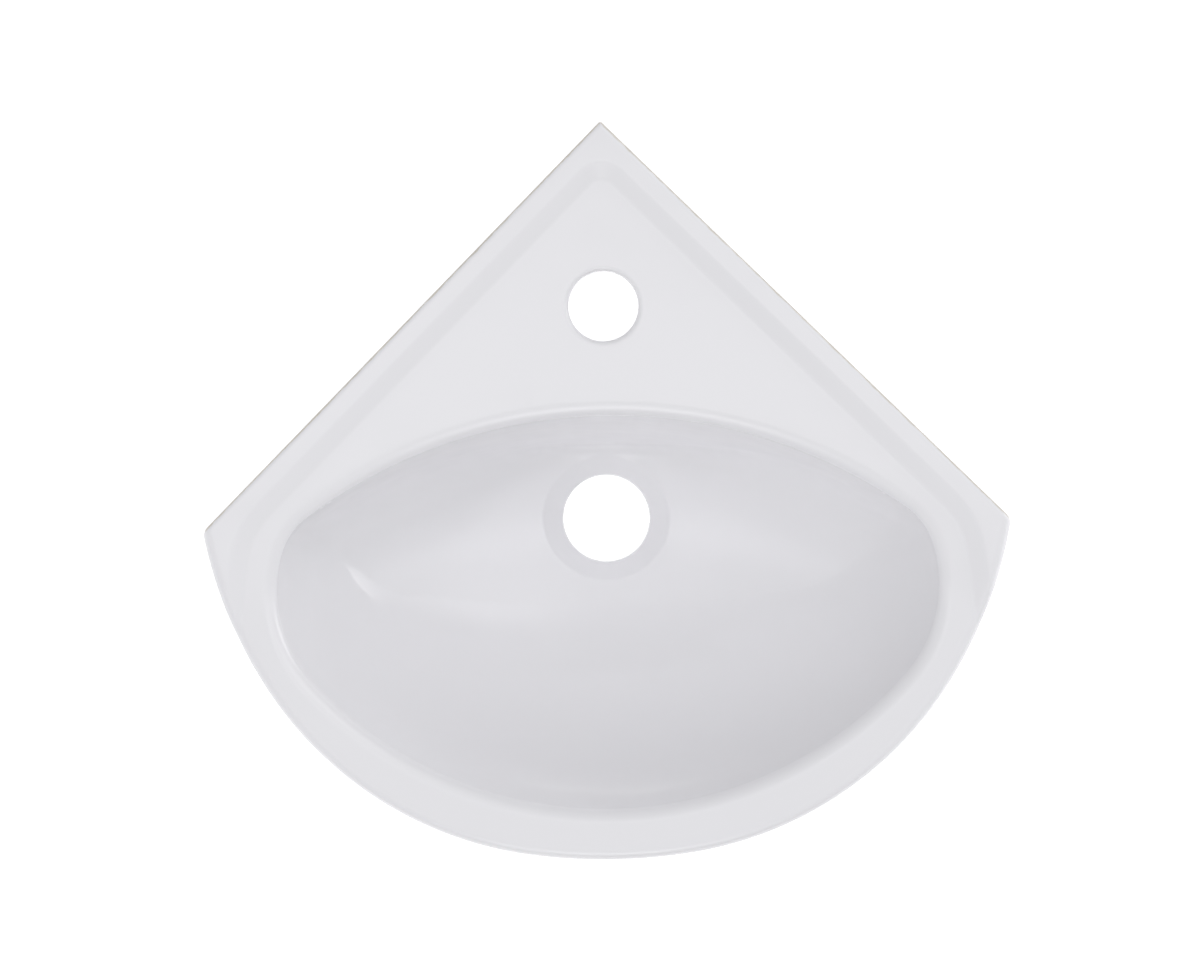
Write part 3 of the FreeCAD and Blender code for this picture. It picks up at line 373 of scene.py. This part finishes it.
def glaze_material():
    n = Nodes("glazed_china")
    split = n.add("ShaderNodeSeparateXYZ", {0: n.where})
    x, y, z = split.outputs
    # unglazed clay: the faces against the walls and the foot of the waste boss
    wall = n.math("MULTIPLY", n.math("ADD", n.math("ABSOLUTE", x), y), 1 / R2)
    ragged = n.math("MULTIPLY", n.math("SUBTRACT", n.noise(160.0, 3.0), 0.5), 0.0016)
    behind = n.ranged(n.math("ADD", wall, ragged), -0.0011, -0.0007, 0.0, 1.0)
    foot = n.ranged(n.math("ADD", z, ragged), -0.1402, -0.1407, 0.0, 1.0)
    bare = n.math("MAXIMUM", behind, foot)
    # glaze: faint clouds in its white, a few pale specks, thickness that varies
    cloud = n.noise(9.0, 3.0, 0.55)
    speck = n.ranged(n.noise(1400.0, 1.0), 0.78, 0.83, 0.0, 1.0)
    white = n.mix(cloud, (0.922, 0.918, 0.937, 1), (0.940, 0.936, 0.951, 1))
    white = n.mix(n.math("MULTIPLY", speck, 0.10), white, (0.62, 0.58, 0.54, 1))
    grain = n.noise(900.0, 6.0, 0.65)
    clay = n.mix(n.ranged(n.noise(60.0, 5.0, 0.6), 0.35, 0.7, 0.0, 1.0), (0.73, 0.69, 0.62, 1), (0.80, 0.77, 0.71, 1))
    clay = n.mix(n.math("MULTIPLY", grain, 0.25), clay, (0.58, 0.53, 0.47, 1))
    gloss = n.ranged(n.noise(35.0, 2.0), 0.3, 0.7, 0.045, 0.085)
    n.set(Base_Color=n.mix(bare, white, clay), Roughness=n.math("ADD", n.math("MULTIPLY", bare, 0.72), gloss), IOR=1.52)
    # slow waves in the glaze, grain in the clay
    waves = n.math("ADD", n.math("MULTIPLY", n.noise(28.0, 1.0, 0.4), 1.0), n.math("MULTIPLY", n.noise(110.0, 1.0, 0.4), 0.10))
    slow = n.add("ShaderNodeBump", {"Strength": 0.35, "Distance": 0.0009, "Height": waves}).outputs[0]
    rough = n.add("ShaderNodeBump", {"Strength": n.math("MULTIPLY", bare, 0.8), "Distance": 0.0006, "Height": grain, "Normal": slow}).outputs[0]
    n.put(n.shader.inputs["Normal"], rough)
    return n.material


def nylon_material():
    n = Nodes("natural_nylon")
    tone = n.noise(120.0, 3.0)
    n.set(Base_Color=n.mix(tone, (0.72, 0.69, 0.60, 1), (0.80, 0.78, 0.70, 1)),
          Roughness=n.ranged(n.noise(500.0, 2.0), 0.3, 0.7, 0.38, 0.55), IOR=1.53)
    n.put(n.shader.inputs["Subsurface Weight"], 0.15)
    n.put(n.shader.inputs["Subsurface Radius"], (0.004, 0.003, 0.002))
    bump = n.add("ShaderNodeBump", {"Strength": 0.25, "Distance": 0.0002, "Height": n.noise(900.0, 3.0)}).outputs[0]
    n.put(n.shader.inputs["Normal"], bump)
    return n.material


def steel_material():
    n = Nodes("zinc_plate")
    tone = n.noise(240.0, 4.0, 0.6)
    n.set(Base_Color=n.mix(tone, (0.56, 0.58, 0.60, 1), (0.72, 0.73, 0.73, 1)), Metallic=1.0,
          Roughness=n.ranged(n.noise(380.0, 3.0), 0.3, 0.7, 0.24, 0.42))
    bump = n.add("ShaderNodeBump", {"Strength": 0.2, "Distance": 0.00015, "Height": n.noise(1500.0, 3.0)}).outputs[0]
    n.put(n.shader.inputs["Normal"], bump)
    return n.material


def floor_material():
    n = Nodes("pale_floor")
    n.set(Base_Color=n.mix(n.noise(2.0, 2.0), (0.93, 0.93, 0.93, 1), (0.95, 0.95, 0.95, 1)), Roughness=0.9)
    n.put(n.shader.inputs["Emission Color"], (1, 1, 1, 1))
    n.put(n.shader.inputs["Emission Strength"], 0.35)
    return n.material


glaze, nylon, steel, pale = glaze_material(), nylon_material(), steel_material(), floor_material()

casting_piece = make_casting()
casting_piece.data.materials.clear()
casting_piece.data.materials.append(glaze)
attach(casting_piece, "root")
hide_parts("basin_body")

for name, node in nodes.items():
    material = glaze if name == "basin_body" else nylon if "bush" in name else steel
    node.data.materials.clear()
    node.data.materials.append(material)

# ------------------------------------------------------------------ stage

FLOOR_Z = -0.85
DOME_TOP, DOME_SIDE, DOME_FILL, STRIP = 0.88, 0.23, 0.62, 0.9
# soft lamps in the dome: the way to each, how tight it is, how bright
LAMPS = [((0.52, 0.40, 0.755), 18.0, 1.7), ((0.93, 0.27, 0.21), 36.0, 3.3), ((0.0, -0.77, 0.64), 28.0, 2.8)]
LOW_WAY, LOW_TIGHT, LOW_HIGH, LOW = (0.86, 0.51, 0.0), 7.0, 0.30, 2.5
floor = mesh_object("floor", np.array([(-6, -6, FLOOR_Z), (6, -6, FLOOR_Z), (6, 6, FLOOR_Z), (-6, 6, FLOOR_Z)], float), np.array([[0, 1, 2, 3]]))
floor.data.materials.append(pale)

world = bpy.data.worlds.new("soft")
bpy.context.scene.world = world
world.use_nodes = True
links, make = world.node_tree.links, world.node_tree.nodes.new
background = world.node_tree.nodes["Background"]
background.inputs["Color"].default_value = (0.874, 0.874, 0.888, 1)
direction = make("ShaderNodeTexCoord").outputs["Generated"]


def join(operation, *inputs, clamp=False):
    """One arithmetic node of the dome; numbers and links are its inputs."""
    n = make("ShaderNodeMath")
    n.operation, n.use_clamp = operation, clamp
    for socket, v in zip(n.inputs, inputs):
        if isinstance(v, (int, float)):
            socket.default_value = v
        else:
            links.new(v, socket)
    return n.outputs[0]


def towards(way):
    """How squarely a direction points one way, from 0 to 1."""
    n = make("ShaderNodeVectorMath")
    n.operation = "DOT_PRODUCT"
    links.new(direction, n.inputs[0])
    n.inputs[1].default_value = Vector(way).normalized()
    return join("MULTIPLY", n.outputs["Value"], 1.0, clamp=True)


# a soft dome, brighter overhead and, low down, towards the front and the left
up = towards((0, 0, 1))
dome = join("MULTIPLY_ADD", join("POWER", up, 6.0), DOME_TOP, DOME_SIDE)
dome = join("MULTIPLY_ADD", towards((-0.98, -0.20, 0.0)), DOME_FILL, dome)
for way, tight, bright in LAMPS:
    dome = join("MULTIPLY_ADD", join("POWER", towards(way), tight), bright, dome)
# a low lamp that only the edges catch
level = join("MULTIPLY_ADD", up, -1 / LOW_HIGH, 1.0, clamp=True)
level = join("MULTIPLY", level, join("POWER", towards(LOW_WAY), LOW_TIGHT))
dome = join("MULTIPLY_ADD", level, LOW, dome)
# a long soft strip overhead, from left to right a little behind the middle
split = make("ShaderNodeSeparateXYZ")
links.new(direction, split.inputs[0])
offset = join("MULTIPLY_ADD", split.outputs["Y"], 1 / 0.09, -0.034 / 0.09)
inside = join("SUBTRACT", 1.0, join("MULTIPLY", offset, offset), clamp=True)
band = join("MULTIPLY", join("MULTIPLY", inside, inside), up)
dome = join("MULTIPLY_ADD", band, STRIP, dome)
# what the camera sees behind the object is plain white
seen = make("ShaderNodeMix")
links.new(make("ShaderNodeLightPath").outputs["Is Camera Ray"], seen.inputs[0])
links.new(dome, seen.inputs[2])
seen.inputs[3].default_value = 1.0
links.new(seen.outputs[0], background.inputs["Strength"])


# ----------------------------------------------------------------- camera

camera_data = bpy.data.cameras.new("camera")
camera_data.sensor_fit = "HORIZONTAL"
camera_data.sensor_width = 36
camera_data.lens = 105.45
camera_data.clip_start, camera_data.clip_end = 0.05, 30
camera = bpy.data.objects.new("camera", camera_data)
bpy.context.scene.collection.objects.link(camera)
# straight down on the deck, turned by a degree as the picture is
turn = math.radians(-0.97)
camera.matrix_world = Matrix.Translation((-0.0031, -0.1787, 1.75)) @ Matrix.Rotation(turn, 4, "Z")
bpy.context.scene.camera = camera

bpy.context.scene.view_settings.view_transform = "Standard"

bpy.context.view_layer.update()
